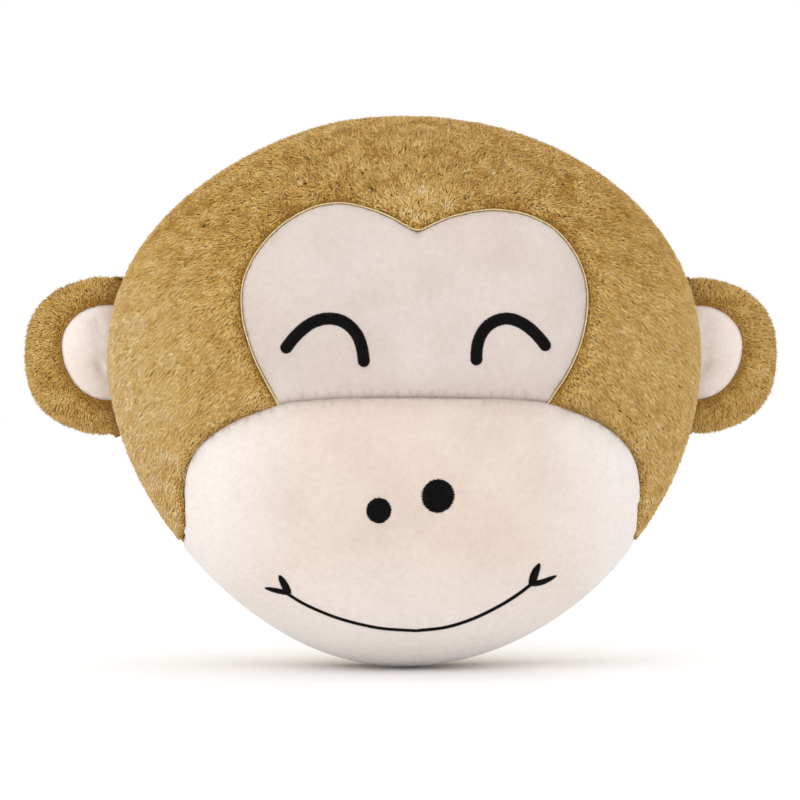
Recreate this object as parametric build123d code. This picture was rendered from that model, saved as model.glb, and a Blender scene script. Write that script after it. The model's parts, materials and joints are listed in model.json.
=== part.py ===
"""Monkey-face plush cushion, upright, face towards -Y, crown towards +Z, millimetres.

A padded head cut from short tan plush, with a heart-shaped velour face patch, a puffed velour muzzle,
satin-stitched eyes, nostrils and smile, two padded ears sewn into the side seams, a two-piece back
closed with a ladder stitch, and a blank satin care label. The origin is on the floor under the middle
of the bounding box.
"""

import math
import os

from build123d import *

# ---------------------------------------------------------------- head
HEAD_HALF_WIDTH = 161.0
HEAD_HEIGHT = 298.0
WIDEST_Z = 168.0  # the level of the widest section and of the ears
UPPER_ROUNDNESS = 2.1  # superellipse exponents of the outline above and below the widest level
LOWER_ROUNDNESS = 1.9
FRONT_DEPTH = 80.0  # bulge of the face ahead of the side seam
BACK_DEPTH = 64.0  # bulge of the back behind it
DEPTH_ROUNDNESS = 2.3
SECTION_ROUNDNESS = 2.35
MUZZLE_BULGE = 18.0  # how far the muzzle puffs out ahead of the face
CROWN_FLAT = 0.16  # the crown's closing section, as a share of the widest one
FOOT_HALF_WIDTH = 24.0  # the chin's flat
FOOT_FRONT = 22.0  # the chin's flat ahead of and behind the side seam plane
FOOT_BACK = 13.0
SECTION_POINTS = 24

CLOTH = 4.0  # plush or velour with its pile
SIDE_SEAM_Y = 13.3  # the side seam plane, which centres the whole depth on y = 0

# ---------------------------------------------------------------- face
MUZZLE_TOP_Z = 144.0
MUZZLE_HALF_WIDTH = 124.0
MUZZLE_CORNER = 42.0
LOBE_X = 43.0  # heart-shaped patch: top of each lobe, notch, widest points, lower corners
LOBE_Z = 249.5
NOTCH_Z = 233.5
PATCH_HALF_WIDTH = 93.5
PATCH_WIDEST_Z = 202.0
PATCH_FOOT_X = 73.0
EDGING_WIDTH = 1.0

STITCH_SKIN = 0.05  # satin stitch starts this far off the cloth
STITCH_RISE = 0.9  # and stands this far proud
EYE_STROKE = 6.3
MOUTH_STROKE = 1.9
CORNER_STROKE = 2.6
LEFT_EYE = [(-69.5, 170.5), (-47.5, 187.5), (-27.5, 162.5)]
RIGHT_EYE = [(32.5, 164.0), (49.0, 187.5), (70.5, 172.0)]
LEFT_NOSTRIL = (-20.0, 86.5)
LEFT_NOSTRIL_RADIUS = 6.3
RIGHT_NOSTRIL = (11.5, 94.5)
RIGHT_NOSTRIL_RADIUS = 8.4
MOUTH = [(-67.5, 42.5), (-45.0, 31.0), (0.0, 22.0), (45.0, 35.5), (62.5, 48.0)]
LEFT_CORNER_TIPS = [(-72.0, 51.5), (-79.0, 44.5)]
RIGHT_CORNER_TIPS = [(65.0, 57.5), (74.0, 51.5)]

# ---------------------------------------------------------------- ears
EAR_CENTRE_X = 150.0
EAR_REACH = 56.0
EAR_HALF_HEIGHT = 43.0
EAR_ROUNDNESS = 3.0
EAR_SETBACK = 10.0  # behind the side seam plane
EAR_FULLNESS = 13.0  # half-thickness that the teardrop section is drawn from
EAR_ROOT_SHARE = 0.35  # how much of it is left where the cloths go into the seam
EAR_ROOT_GAP = 1.2
EAR_LEVELS = [-0.98, -0.9, -0.72, -0.4, 0.0, 0.4, 0.72, 0.9, 0.98]  # shares of the half-height
EAR_POINTS = 16
EAR_FULL_X = 190.0  # where the ear is thickest, and how much of its size the filling takes
EAR_FILLING_SHARE = (0.75, 0.72, 0.88)
INNER_EAR_X = 162.0
INNER_EAR_Z = 171.0
INNER_EAR_RADIUS = 26.0

# ---------------------------------------------------------------- back
CLOSING_LOW_Z = 96.0
CLOSING_STEP = 8.0
CLOSING_COUNT = 13
CLOSING_LENGTH = 5.0
CLOSING_THREAD = 0.9
LABEL_WIDTH = 24.0
LABEL_LENGTH = 36.0
LABEL_THICK = 0.8
LABEL_TOP_Z = 78.0
LABEL_CLEARANCE = 1.2

MIDDLE = (0.0, 0.0, 150.0)  # the point that inset and outset copies of the head are scaled about


def squircle(t, roundness):
    """Half-width of a superellipse of half-size 1 at the height t."""
    return (1.0 - min(abs(t), 1.0) ** roundness) ** (1.0 / roundness)


def rise(z):
    """How far z is from the widest level, 0 there and 1 at the crown or the chin."""
    if z > WIDEST_Z:
        return (z - WIDEST_Z) / (HEAD_HEIGHT - WIDEST_Z)
    return (WIDEST_Z - z) / WIDEST_Z


def half_width(z):
    return HEAD_HALF_WIDTH * squircle(rise(z), UPPER_ROUNDNESS if z > WIDEST_Z else LOWER_ROUNDNESS)


def front_depth(z):
    depth = FRONT_DEPTH * squircle(rise(z), DEPTH_ROUNDNESS)
    if z < MUZZLE_TOP_Z:
        depth += MUZZLE_BULGE * math.sin(math.pi * z / MUZZLE_TOP_Z) ** 0.6
    return depth


def back_depth(z):
    return BACK_DEPTH * squircle(rise(z), DEPTH_ROUNDNESS)


def section(z, width, front, back):
    """One level section: a superellipse, deeper in front than behind."""
    points = []
    for i in range(SECTION_POINTS):
        angle = 2 * math.pi * i / SECTION_POINTS
        c = math.cos(angle)
        s = math.sin(angle)
        reach = (abs(c) ** SECTION_ROUNDNESS + abs(s) ** SECTION_ROUNDNESS) ** (-1 / SECTION_ROUNDNESS)
        points.append((width * reach * c, (back if s > 0 else front) * reach * s, z))
    return Face(Wire(Spline(*points, periodic=True)))


def head_section(z):
    return section(z, half_width(z), front_depth(z), back_depth(z))


def head_form():
    """The padded head: one loft below the muzzle seam and one above it, so that the seam is a crease."""
    foot = section(0.0, FOOT_HALF_WIDTH, FOOT_FRONT, FOOT_BACK)
    low_levels = [5, 13, 26, 46, 72, 100, 125, MUZZLE_TOP_Z]
    high_levels = [MUZZLE_TOP_Z, 168, 196, 224, 248, 268, 283, 292]
    crown_width = HEAD_HALF_WIDTH * CROWN_FLAT
    crown = section(HEAD_HEIGHT, crown_width, FRONT_DEPTH * CROWN_FLAT, BACK_DEPTH * CROWN_FLAT)
    lower = Solid.make_loft([foot.outer_wire()] + [head_section(z).outer_wire() for z in low_levels])
    upper = Solid.make_loft([head_section(z).outer_wire() for z in high_levels] + [crown.outer_wire()])
    return lower + upper


def resized(form, grow):
    """The form with its surface moved out by about grow, or in where grow is negative."""
    by = (
        1 + grow / HEAD_HALF_WIDTH,
        1 + 2 * grow / (FRONT_DEPTH + BACK_DEPTH),
        1 + 2 * grow / HEAD_HEIGHT,
    )
    return scale(form, by=by, about=MIDDLE)


def front_prism(outline):
    """A flat outline in X and Z pushed from the side seam plane out through the face."""
    return extrude(Plane.XZ * outline, amount=300)


def back_prism(outline):
    return extrude(Plane.XZ * outline, amount=-300)


def stroke(points, width):
    """A stitched stroke with round ends along a smooth curve."""
    line = Spline(*points) if len(points) > 3 else ThreePointArc(*points)
    return trace(line, width) + Pos(*points[0]) * Circle(width / 2) + Pos(*points[-1]) * Circle(width / 2)


def heart():
    """Half-outlines mirrored about the middle: lobe, widest point, lower corner on the muzzle seam."""
    right = Spline(
        (0, NOTCH_Z),
        (LOBE_X, LOBE_Z),
        (PATCH_HALF_WIDTH, PATCH_WIDEST_Z),
        (PATCH_FOOT_X, MUZZLE_TOP_Z),
        tangents=[(0.72, 0.69), (-0.62, -0.78)],
    )
    left = mirror(right, about=Plane.YZ)
    foot = Line((-PATCH_FOOT_X, MUZZLE_TOP_Z), (PATCH_FOOT_X, MUZZLE_TOP_Z))
    return make_face(Wire([right.edge(), foot.edge(), left.edge()])), right + left


def muzzle_outline():
    low = -20.0
    tall = MUZZLE_TOP_Z - low
    plate = Pos(0, low + tall / 2) * Rectangle(2 * MUZZLE_HALF_WIDTH, tall)
    top_corners = plate.vertices().group_by(Axis.Y)[-1]
    return fillet(top_corners, MUZZLE_CORNER)


def outer_layer(form):
    """The thin layer just off the cloth that embroidery lies in."""
    return resized(form, STITCH_RISE) - resized(form, STITCH_SKIN)


def corner(junction, tips):
    """A forked mouth corner: two short strokes that leave the end of the smile."""
    shape = Pos(*junction) * Circle(CORNER_STROKE / 2)
    for tip in tips:
        shape += trace(Line(junction, tip), CORNER_STROKE) + Pos(*tip) * Circle(CORNER_STROKE / 2)
    return shape


def embroidery(layer, edging_line):
    left_corner = corner(MOUTH[0], LEFT_CORNER_TIPS)
    right_corner = corner(MOUTH[-1], RIGHT_CORNER_TIPS)
    mouth = stroke(MOUTH, MOUTH_STROKE) - left_corner - right_corner
    outlines = {
        "left_eye": stroke(LEFT_EYE, EYE_STROKE),
        "right_eye": stroke(RIGHT_EYE, EYE_STROKE),
        "left_nostril": Pos(*LEFT_NOSTRIL) * Circle(LEFT_NOSTRIL_RADIUS),
        "right_nostril": Pos(*RIGHT_NOSTRIL) * Circle(RIGHT_NOSTRIL_RADIUS),
        "mouth_line": mouth,
        "left_mouth_corner": left_corner,
        "right_mouth_corner": right_corner,
        "face_patch_edging": trace(edging_line, EDGING_WIDTH),
    }
    return {name: layer & front_prism(outline) for name, outline in outlines.items()}


def closing_stitches(layer):
    """The ladder stitch that closes the turning gap in the centre back seam."""
    bars = Sketch()
    for i in range(CLOSING_COUNT):
        bars += Pos(0, CLOSING_LOW_Z + i * CLOSING_STEP) * Rectangle(CLOSING_LENGTH, CLOSING_THREAD)
    return layer & back_prism(bars)


def care_label():
    """A folded strip of satin that hangs from the centre back seam."""
    y = back_depth(LABEL_TOP_Z) + LABEL_CLEARANCE + LABEL_THICK / 2
    strip = Box(LABEL_WIDTH, LABEL_THICK, LABEL_LENGTH)
    return Pos(0, y, LABEL_TOP_Z - LABEL_LENGTH / 2) * strip


def ear_section(z):
    """One level section of the ear: a teardrop, thin where it goes into the seam, full towards its rim."""
    t = (z - WIDEST_Z) / EAR_HALF_HEIGHT
    root = half_width(z) + EAR_ROOT_GAP
    rim = EAR_CENTRE_X + EAR_REACH * squircle(t, EAR_ROUNDNESS)
    full = EAR_FULLNESS * squircle(t, SECTION_ROUNDNESS)
    points = []
    for i in range(EAR_POINTS):
        angle = 2 * math.pi * i / EAR_POINTS
        along = (1 - math.cos(angle)) / 2
        swell = EAR_ROOT_SHARE + (1 - EAR_ROOT_SHARE) * along
        points.append((root + (rim - root) * along, EAR_SETBACK + full * swell * math.sin(angle), z))
    return Face(Wire(Spline(*points, periodic=True)))


def right_ear():
    """The padded ear on the +X side: filling, fur front, velour inner patch and fur back."""
    levels = [WIDEST_Z + EAR_HALF_HEIGHT * share for share in EAR_LEVELS]
    outer = Solid.make_loft([ear_section(z).outer_wire() for z in levels])
    outer = Part(outer.wrapped)
    filling = scale(outer, by=EAR_FILLING_SHARE, about=(EAR_FULL_X, EAR_SETBACK, WIDEST_Z))
    shell = outer - filling
    back_side = Pos(EAR_CENTRE_X, EAR_SETBACK + 50, WIDEST_Z) * Box(200, 100, 200)
    back = shell & back_side
    front = shell - back_side
    patch = Plane.XZ * Pos(INNER_EAR_X, INNER_EAR_Z) * Circle(INNER_EAR_RADIUS)
    patch_prism = extrude(patch, amount=60, both=True)
    return {
        "ear_filling": filling,
        "ear_front": front - patch_prism,
        "inner_ear": front & patch_prism,
        "ear_back": back,
    }


def head_pieces():
    form = head_form()
    filling = resized(form, -CLOTH)
    shell = form - filling
    layer = outer_layer(form)
    front_side = Pos(0, -200, 150) * Box(600, 400, 600)
    right_side = Pos(200, 0, 150) * Box(400, 600, 600)
    front = shell & front_side
    back = shell - front_side
    patch_outline, patch_edge = heart()
    patch_prism = front_prism(patch_outline)
    muzzle_prism = front_prism(muzzle_outline())
    pieces = {
        "head_filling": filling,
        "face_patch": front & patch_prism,
        "muzzle_panel": front & muzzle_prism,
        "front_fur_panel": front - patch_prism - muzzle_prism,
        "back_right_panel": back & right_side,
        "back_left_panel": back - right_side,
        "closing_stitches": closing_stitches(layer),
    }
    pieces.update(embroidery(layer, patch_edge))
    return pieces


def main():
    os.makedirs("parts", exist_ok=True)
    pieces = head_pieces()
    for name, shape in right_ear().items():
        pieces["right_" + name] = shape
        pieces["left_" + name] = mirror(shape, about=Plane.YZ)
    pieces["care_label"] = care_label()
    for name, shape in pieces.items():
        placed = Pos(0, SIDE_SEAM_Y, 0) * shape
        export_step(placed, f"parts/{name}.step")


main()
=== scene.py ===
# %% [markdown]
# # A monkey-face plush cushion
#
# The cushion is a padded head of short tan plush with a velour face patch and muzzle, stitched
# features and two padded ears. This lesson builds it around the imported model, which says where each
# piece is. Every length is in metres, +Z is up, and the face looks towards -Y.

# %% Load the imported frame
import json
import math

import bmesh
import bpy
import numpy as np
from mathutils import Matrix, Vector
from mathutils.bvhtree import BVHTree
from mathutils.geometry import delaunay_2d_cdt
from mathutils.kdtree import KDTree


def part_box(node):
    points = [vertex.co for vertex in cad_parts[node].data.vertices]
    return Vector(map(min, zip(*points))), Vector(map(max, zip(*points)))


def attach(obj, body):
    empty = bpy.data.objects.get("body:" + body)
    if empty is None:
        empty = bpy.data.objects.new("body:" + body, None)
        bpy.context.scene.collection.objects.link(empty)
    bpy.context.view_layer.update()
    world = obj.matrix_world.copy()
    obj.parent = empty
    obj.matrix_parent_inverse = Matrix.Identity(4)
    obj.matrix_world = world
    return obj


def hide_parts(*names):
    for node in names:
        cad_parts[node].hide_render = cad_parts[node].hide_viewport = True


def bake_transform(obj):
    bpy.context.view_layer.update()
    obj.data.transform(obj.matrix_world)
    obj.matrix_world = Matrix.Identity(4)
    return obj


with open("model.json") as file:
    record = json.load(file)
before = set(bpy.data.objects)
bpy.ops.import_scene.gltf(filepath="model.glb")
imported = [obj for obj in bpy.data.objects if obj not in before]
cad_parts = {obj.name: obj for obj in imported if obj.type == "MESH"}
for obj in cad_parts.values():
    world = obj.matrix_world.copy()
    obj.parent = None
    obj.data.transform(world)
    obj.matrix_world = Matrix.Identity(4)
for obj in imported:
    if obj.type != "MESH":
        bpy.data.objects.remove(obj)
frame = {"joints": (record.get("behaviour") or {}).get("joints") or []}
bpy.context.view_layer.update()
MM = 0.001

# %% [markdown]
# ## Sizes
#
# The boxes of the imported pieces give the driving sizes: the widest half-width, the height, the plane
# of the side seam and the depth of the back. The rest are the cushion's own roundness values, the
# same ones that its padded form was drawn with.

# %% Sizes from the frame
fur_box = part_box("front_fur_panel")
muzzle_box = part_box("muzzle_panel")
back_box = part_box("back_right_panel")
ear_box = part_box("right_ear_back")
HALF_WIDTH = fur_box[1].x
HEIGHT = back_box[1].z
SEAM_Y = back_box[0].y
BACK_DEPTH = back_box[1].y - SEAM_Y
FRONT_DEPTH = 80 * MM
MUZZLE_BULGE = 18 * MM
MUZZLE_HALF_WIDTH = muzzle_box[1].x
EAR_Y = ear_box[0].y
EAR_RIM_X = ear_box[1].x
WIDEST_Z = (ear_box[0].z + ear_box[1].z) / 2
UPPER_ROUNDNESS = 2.1
LOWER_ROUNDNESS = 1.9
DEPTH_ROUNDNESS = 2.3
SECTION_ROUNDNESS = 2.35
print("head", HALF_WIDTH, HEIGHT, "seam", SEAM_Y, "widest", WIDEST_Z, "ear rim", EAR_RIM_X)


# %% [markdown]
# ## The camera
#
# The camera comes first, so that every later look is from the same place. A long lens, about two
# metres away, a little to the left of the face and level with it.

# %% Camera
CAMERA_DISTANCE = 2.0
CAMERA_AZIMUTH = math.radians(-4.75)
CAMERA_ELEVATION = math.radians(1.0)
VIEW_CENTRE = Vector((-2.8 * MM, SEAM_Y, 144 * MM))
VIEW_WIDTH = 433 * MM

lens = bpy.data.cameras.new("camera")
camera = bpy.data.objects.new("camera", lens)
bpy.context.scene.collection.objects.link(camera)
back_off = Vector(
    (
        math.sin(CAMERA_AZIMUTH) * math.cos(CAMERA_ELEVATION),
        -math.cos(CAMERA_AZIMUTH) * math.cos(CAMERA_ELEVATION),
        math.sin(CAMERA_ELEVATION),
    )
)
camera.location = VIEW_CENTRE + back_off * CAMERA_DISTANCE
camera.rotation_euler = back_off.to_track_quat("Z", "Y").to_euler()
lens.sensor_width = 36.0
lens.lens = lens.sensor_width * CAMERA_DISTANCE / VIEW_WIDTH
bpy.context.scene.camera = camera
print("lens", lens.lens)


# %% [markdown]
# ## The padded form
#
# Seen from above, each level of the head is a squared-off ellipse. Its half-width and depth follow
# the outline, so one small set of formulas gives the whole cushion. The depth vanishes at the side
# seam, where front and back meet.


# %% The form's formulas
def squircle(t, roundness):
    return (1 - np.minimum(np.abs(t), 1.0) ** roundness) ** (1 / roundness)


def smooth_step(value, low, high):
    t = np.clip((value - low) / (high - low), 0, 1)
    return t * t * (3 - 2 * t)


def rise(z):
    return np.where(z > WIDEST_Z, (z - WIDEST_Z) / (HEIGHT - WIDEST_Z), (WIDEST_Z - z) / WIDEST_Z)


def half_width(z):
    above = squircle(rise(z), UPPER_ROUNDNESS)
    below = squircle(rise(z), LOWER_ROUNDNESS)
    return HALF_WIDTH * np.where(z > WIDEST_Z, above, below)


def head_depth(x, z, full):
    """How far the cloth stands off the side seam's plane."""
    across = x / np.maximum(half_width(z), 1e-6)
    return full * squircle(rise(z), DEPTH_ROUNDNESS) * squircle(across, SECTION_ROUNDNESS)


def head_outline(count):
    """The side seam's outline in X and Z, by equal steps of angle about the middle."""
    angle = np.arange(count) * 2 * math.pi / count
    c = np.abs(np.cos(angle))
    s = np.abs(np.sin(angle))
    up = np.sin(angle) >= 0
    tall = np.where(up, HEIGHT - WIDEST_Z, WIDEST_Z)
    power = np.where(up, UPPER_ROUNDNESS, LOWER_ROUNDNESS)
    reach = ((c / HALF_WIDTH) ** power + (s / tall) ** power) ** (-1 / power)
    return np.stack([reach * np.cos(angle), WIDEST_Z + reach * np.sin(angle)], 1)


# %% [markdown]
# ## Cutting patterns
#
# A soft toy is cut flat and sewn. Here each bulging side is unfolded to a flat pattern, cut into
# even triangles that follow the seams, and folded back. The seams stay sharp, because the triangles'
# edges lie on them.


# %% Unfolding a bulging side
class Pattern:
    """The flat pattern of one bulging side, unfolded about its middle."""

    def __init__(self, centre, outline, stretch):
        self.centre = np.array(centre)
        self.stretch = stretch
        arm = outline - self.centre
        angle = np.arctan2(arm[:, 1], arm[:, 0])
        order = np.argsort(angle)
        self.angle = angle[order]
        self.reach = np.hypot(arm[:, 0], arm[:, 1])[order]

    def radius(self, angle):
        return np.interp(angle, self.angle, self.reach, period=2 * math.pi)

    def flatten(self, points):
        arm = np.asarray(points) - self.centre
        angle = np.arctan2(arm[:, 1], arm[:, 0])
        share = np.minimum(np.hypot(arm[:, 0], arm[:, 1]) / self.radius(angle), 1.0)
        flat = np.arcsin(share) / (math.pi / 2) * self.radius(angle) * self.stretch
        return np.stack([flat * np.cos(angle), flat * np.sin(angle)], 1)

    def share(self, flat):
        angle = np.arctan2(flat[:, 1], flat[:, 0])
        return np.hypot(flat[:, 0], flat[:, 1]) / (self.radius(angle) * self.stretch)

    def fold(self, flat):
        angle = np.arctan2(flat[:, 1], flat[:, 0])
        reach = np.sin(np.minimum(self.share(flat), 1.0) * math.pi / 2) * self.radius(angle)
        return self.centre + np.stack([reach * np.cos(angle), reach * np.sin(angle)], 1)


def distance_to(points, targets):
    """Distance from each point to the nearest target, in X and Z or in X, Y and Z."""
    tree = KDTree(len(targets))
    for i, t in enumerate(targets):
        tree.insert((*t, 0.0)[:3], i)
    tree.balance()
    return np.array([tree.find((*p, 0.0)[:3])[2] for p in points])


CLEAR_OF_SEAM = 0.62


def cut_cloth(pattern, outline, seams, spacing):
    """Even triangles inside the outline that follow the seams: points in X and Z, and faces."""
    chains = [np.vstack([outline, outline[:1]])] + list(seams)
    flats = []
    edges = []
    start = 0
    for number, chain in enumerate(chains):
        flat = pattern.flatten(chain[:-1] if number == 0 else chain)
        count = len(flat)
        flats.append(flat)
        edges += [(start + i, start + i + 1) for i in range(count - 1)]
        if number == 0:
            edges.append((start + count - 1, start))
        start += count
    fixed = np.vstack(flats)
    low = fixed.min(0)
    high = fixed.max(0)
    rows = np.arange(low[1], high[1], spacing * math.sqrt(3) / 2)
    loose = []
    for i, y in enumerate(rows):
        xs = np.arange(low[0] + (i % 2) * spacing / 2, high[0], spacing)
        loose.append(np.stack([xs, np.full(len(xs), y)], 1))
    loose = np.vstack(loose)
    loose = loose[pattern.share(loose) < 1.0]
    loose = loose[distance_to(loose, fixed) >= spacing * CLEAR_OF_SEAM]
    points = np.vstack([fixed, loose])
    made = delaunay_2d_cdt([Vector(p) for p in points.tolist()], edges, [], 1, 1e-7, False)
    return np.array([list(v) for v in made[0]]), [list(f) for f in made[2]]


def even_line(points, spacing):
    """A smooth line through a few points, sampled evenly."""
    knots = np.array(points, float)
    ends = np.vstack([2 * knots[0] - knots[1], knots, 2 * knots[-1] - knots[-2]])
    fine = []
    for i in range(len(knots) - 1):
        a, b, c, d = ends[i : i + 4]
        bend = 2 * a - 5 * b + 4 * c - d
        twist = 3 * b - a - 3 * c + d
        for t in np.linspace(0, 1, 24, endpoint=False):
            fine.append(0.5 * (2 * b + (c - a) * t + bend * t**2 + twist * t**3))
    fine.append(knots[-1])
    fine = np.array(fine)
    along = np.concatenate([[0], np.cumsum(np.linalg.norm(np.diff(fine, axis=0), axis=1))])
    count = max(2, int(round(along[-1] / spacing)) + 1)
    steps = np.linspace(0, along[-1], count)
    return np.stack([np.interp(steps, along, fine[:, k]) for k in range(fine.shape[1])], 1)


# %% [markdown]
# ## Seams of the face
#
# The patch is a heart with its notch at the top, and its foot lies on the muzzle's top seam. The
# muzzle's seam runs straight across, turns down at each cheek and ends at the side seam.

# %% Seam lines
CLOTH_STEP = 5.0 * MM
SEAM_STEP = CLOTH_STEP * 0.7
PATCH_FEET_X = (-73 * MM, 71.5 * MM)
PATCH_FOOT_Z = 144.5 * MM


def in_mm(*pairs):
    return [(x * MM, z * MM) for x, z in pairs]


HEART_LEFT = in_mm(
    (-80.6, 156.8), (-86.9, 170.3), (-91.9, 187.0), (-93.4, 202.7), (-91.3, 214.2), (-84.9, 227.3),
    (-73.3, 239.9), (-57.6, 248.8), (-42.0, 251.4), (-29.0, 248.8), (-18.7, 245.1), (-8.3, 239.8),
    (0.5, 234.0),
)
HEART_RIGHT = in_mm(
    (0.5, 234.0), (9.6, 239.3), (20.7, 243.6), (33.0, 246.3), (45.5, 247.2), (59.8, 245.2),
    (74.8, 238.2), (86.0, 225.4), (91.3, 212.3), (92.7, 202.0), (91.4, 187.0), (86.4, 170.2),
    (79.8, 157.1),
)
MUZZLE_RIGHT = in_mm(
    (124.4, 88.0), (124.5, 97.5), (123.1, 106.8), (120.1, 114.5), (115.3, 121.6), (109.0, 127.6),
    (100.5, 133.4), (92.6, 137.4), (85.2, 140.3), (72.0, 144.4), (60.0, 146.1), (34.0, 147.4),
    (0.0, 148.0),
)


def mirrored(line):
    return line[::-1] * np.array([-1.0, 1.0])


def muzzle_line(spacing):
    """The muzzle's seam from the right side seam, up, across and down to the left one."""
    z = np.linspace(0, WIDEST_Z, 4000)
    foot = float(z[np.argmin(np.abs(half_width(z) - MUZZLE_HALF_WIDTH))])
    right = even_line([(MUZZLE_HALF_WIDTH, foot)] + MUZZLE_RIGHT, spacing)
    return np.vstack([right, mirrored(right)[1:]])


muzzle_seam = muzzle_line(SEAM_STEP)
feet = [
    muzzle_seam[np.argmin(np.linalg.norm(muzzle_seam - (x, PATCH_FOOT_Z), axis=1))]
    for x in PATCH_FEET_X
]
heart_left = even_line([tuple(feet[0])] + HEART_LEFT, SEAM_STEP)
heart_right = even_line(HEART_RIGHT + [tuple(feet[1])], SEAM_STEP)
heart_line = np.vstack([heart_left, heart_right[1:]])
side_seam = head_outline(288)
print("seams", len(heart_line), len(muzzle_seam), "muzzle ends at", muzzle_seam[0])


def inside(points, loop):
    """Which points lie inside a closed loop in X and Z."""
    x = points[:, 0]
    z = points[:, 1]
    hit = np.zeros(len(points), bool)
    for (x1, z1), (x2, z2) in zip(loop, np.roll(loop, -1, axis=0)):
        crosses = (z1 > z) != (z2 > z)
        with np.errstate(divide="ignore", invalid="ignore"):
            at = (x2 - x1) * (z - z1) / (z2 - z1) + x1
        hit ^= crosses & (x < at)
    return hit


# %% [markdown]
# ## Meshes in plain Python
#
# NumPy does the sums on whole lists of points, and BMesh does the edits that change faces. A few
# short helpers read and write a mesh's points and the values kept on them.


# %% Helpers for meshes
def link(name, mesh):
    thing = bpy.data.objects.new(name, mesh)
    bpy.context.scene.collection.objects.link(thing)
    return thing


def read(collection, key, width=1, kind=float):
    values = np.zeros(len(collection) * width, kind)
    collection.foreach_get(key, values)
    return values.reshape(-1, width) if width > 1 else values


def points_of(mesh):
    return read(mesh.vertices, "co", 3)


def normals_of(mesh):
    return read(mesh.vertices, "normal", 3)


def move_points(mesh, points):
    mesh.vertices.foreach_set("co", np.ascontiguousarray(points, dtype=np.float64).ravel())
    mesh.update()


def store(mesh, name, values, domain="POINT"):
    """Keeps a number or a vector for each point, edge or face of the mesh, under a name."""
    values = np.asarray(values)
    whole = values.dtype.kind == "i"
    kind = "INT" if whole else "FLOAT_VECTOR" if values.ndim == 2 else "FLOAT"
    flat = values.astype(np.int32 if whole else np.float32).ravel()
    key = "vector" if values.ndim == 2 else "value"
    mesh.attributes.new(name, kind, domain).data.foreach_set(key, flat)


def cloths_of_faces(mesh):
    return read(mesh.attributes["cloth"].data, "value", kind=int)


def cloths_at_points(mesh):
    """The set of cloths that meet at each point."""
    meeting = [set() for _ in mesh.vertices]
    for face, kind in zip(mesh.polygons, cloths_of_faces(mesh).tolist()):
        for v in face.vertices:
            meeting[v].add(kind)
    return meeting


def reshape(mesh, change, target=None):
    """Runs BMesh operations on a mesh, in place or into a target mesh."""
    bm = bmesh.new()
    bm.from_mesh(mesh)
    change(bm)
    bm.to_mesh(target or mesh)
    bm.free()


def face_outwards(bm):
    bmesh.ops.recalc_face_normals(bm, faces=bm.faces)


def smooth_shaded(mesh):
    mesh.polygons.foreach_set("use_smooth", [True] * len(mesh.polygons))


def evaluated_copy(thing, name):
    """A plain mesh of what the modifiers make."""
    graph = bpy.context.evaluated_depsgraph_get()
    mesh = bpy.data.meshes.new_from_object(thing.evaluated_get(graph), depsgraph=graph)
    mesh.name = name
    return mesh


def unit(vectors):
    return vectors / np.maximum(np.linalg.norm(vectors, axis=1), 1e-6)[:, None]


# %% [markdown]
# ## Folding and sewing
#
# The flat front is parted into plush, patch and muzzle by the seams it was cut along, and folded to
# the padded form, with the muzzle puffed out from its own seam. The back is cut down its middle.
# Both are then welded along the side seam into one closed skin.


# %% Folding the head
def with_muzzle_ends(outline):
    """The side seam's points with the nearest one on each side moved to the muzzle seam's end."""
    moved = outline.copy()
    for end in (muzzle_seam[0], muzzle_seam[-1]):
        moved[np.argmin(np.linalg.norm(moved - end, axis=1))] = end
    return moved


side_seam = with_muzzle_ends(side_seam)
head_pattern = Pattern((0, WIDEST_Z), side_seam, 1.25)
back_seam = even_line([(0.0, HEIGHT), (0.0, 0.0)], SEAM_STEP)
below_chin = [(side * MUZZLE_HALF_WIDTH * 1.4, -20 * MM) for side in (-1, 1)]
muzzle_loop = np.vstack([muzzle_seam, below_chin])

PLUSH, PATCH, MUZZLE, BACK_LEFT, BACK_RIGHT = range(5)
PUFF_WIDTH = 46 * MM
BACK_STEP = CLOTH_STEP * 1.15
WELD = 0.05 * MM


def fold_front():
    flat, faces = cut_cloth(head_pattern, side_seam, [heart_line, muzzle_seam], CLOTH_STEP)
    xz = head_pattern.fold(flat)
    middle = np.array([xz[f].mean(0) for f in faces])
    cloth = np.full(len(faces), PLUSH)
    cloth[inside(middle, heart_line)] = PATCH
    cloth[inside(middle, muzzle_loop)] = MUZZLE
    in_muzzle = inside(xz, muzzle_loop)
    far = np.where(in_muzzle, distance_to(xz, muzzle_seam), 0.0)
    puff = np.sqrt(1 - (1 - np.minimum(far / PUFF_WIDTH, 1)) ** 2)
    depth = head_depth(xz[:, 0], xz[:, 1], FRONT_DEPTH)
    across = xz[:, 0] / np.maximum(half_width(xz[:, 1]), 1e-6)
    depth += MUZZLE_BULGE * puff * squircle(across, 3.0) * squircle(rise(xz[:, 1]), 3.0)
    points = np.stack([xz[:, 0], SEAM_Y - depth, xz[:, 1]], 1)
    return points, faces, cloth


def fold_back():
    flat, faces = cut_cloth(head_pattern, side_seam, [back_seam], BACK_STEP)
    xz = head_pattern.fold(flat)
    middle = np.array([xz[f].mean(0) for f in faces])
    cloth = np.where(middle[:, 0] < 0, BACK_LEFT, BACK_RIGHT)
    depth = head_depth(xz[:, 0], xz[:, 1], BACK_DEPTH)
    points = np.stack([xz[:, 0], SEAM_Y + depth, xz[:, 1]], 1)
    return points, [f[::-1] for f in faces], cloth


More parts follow.
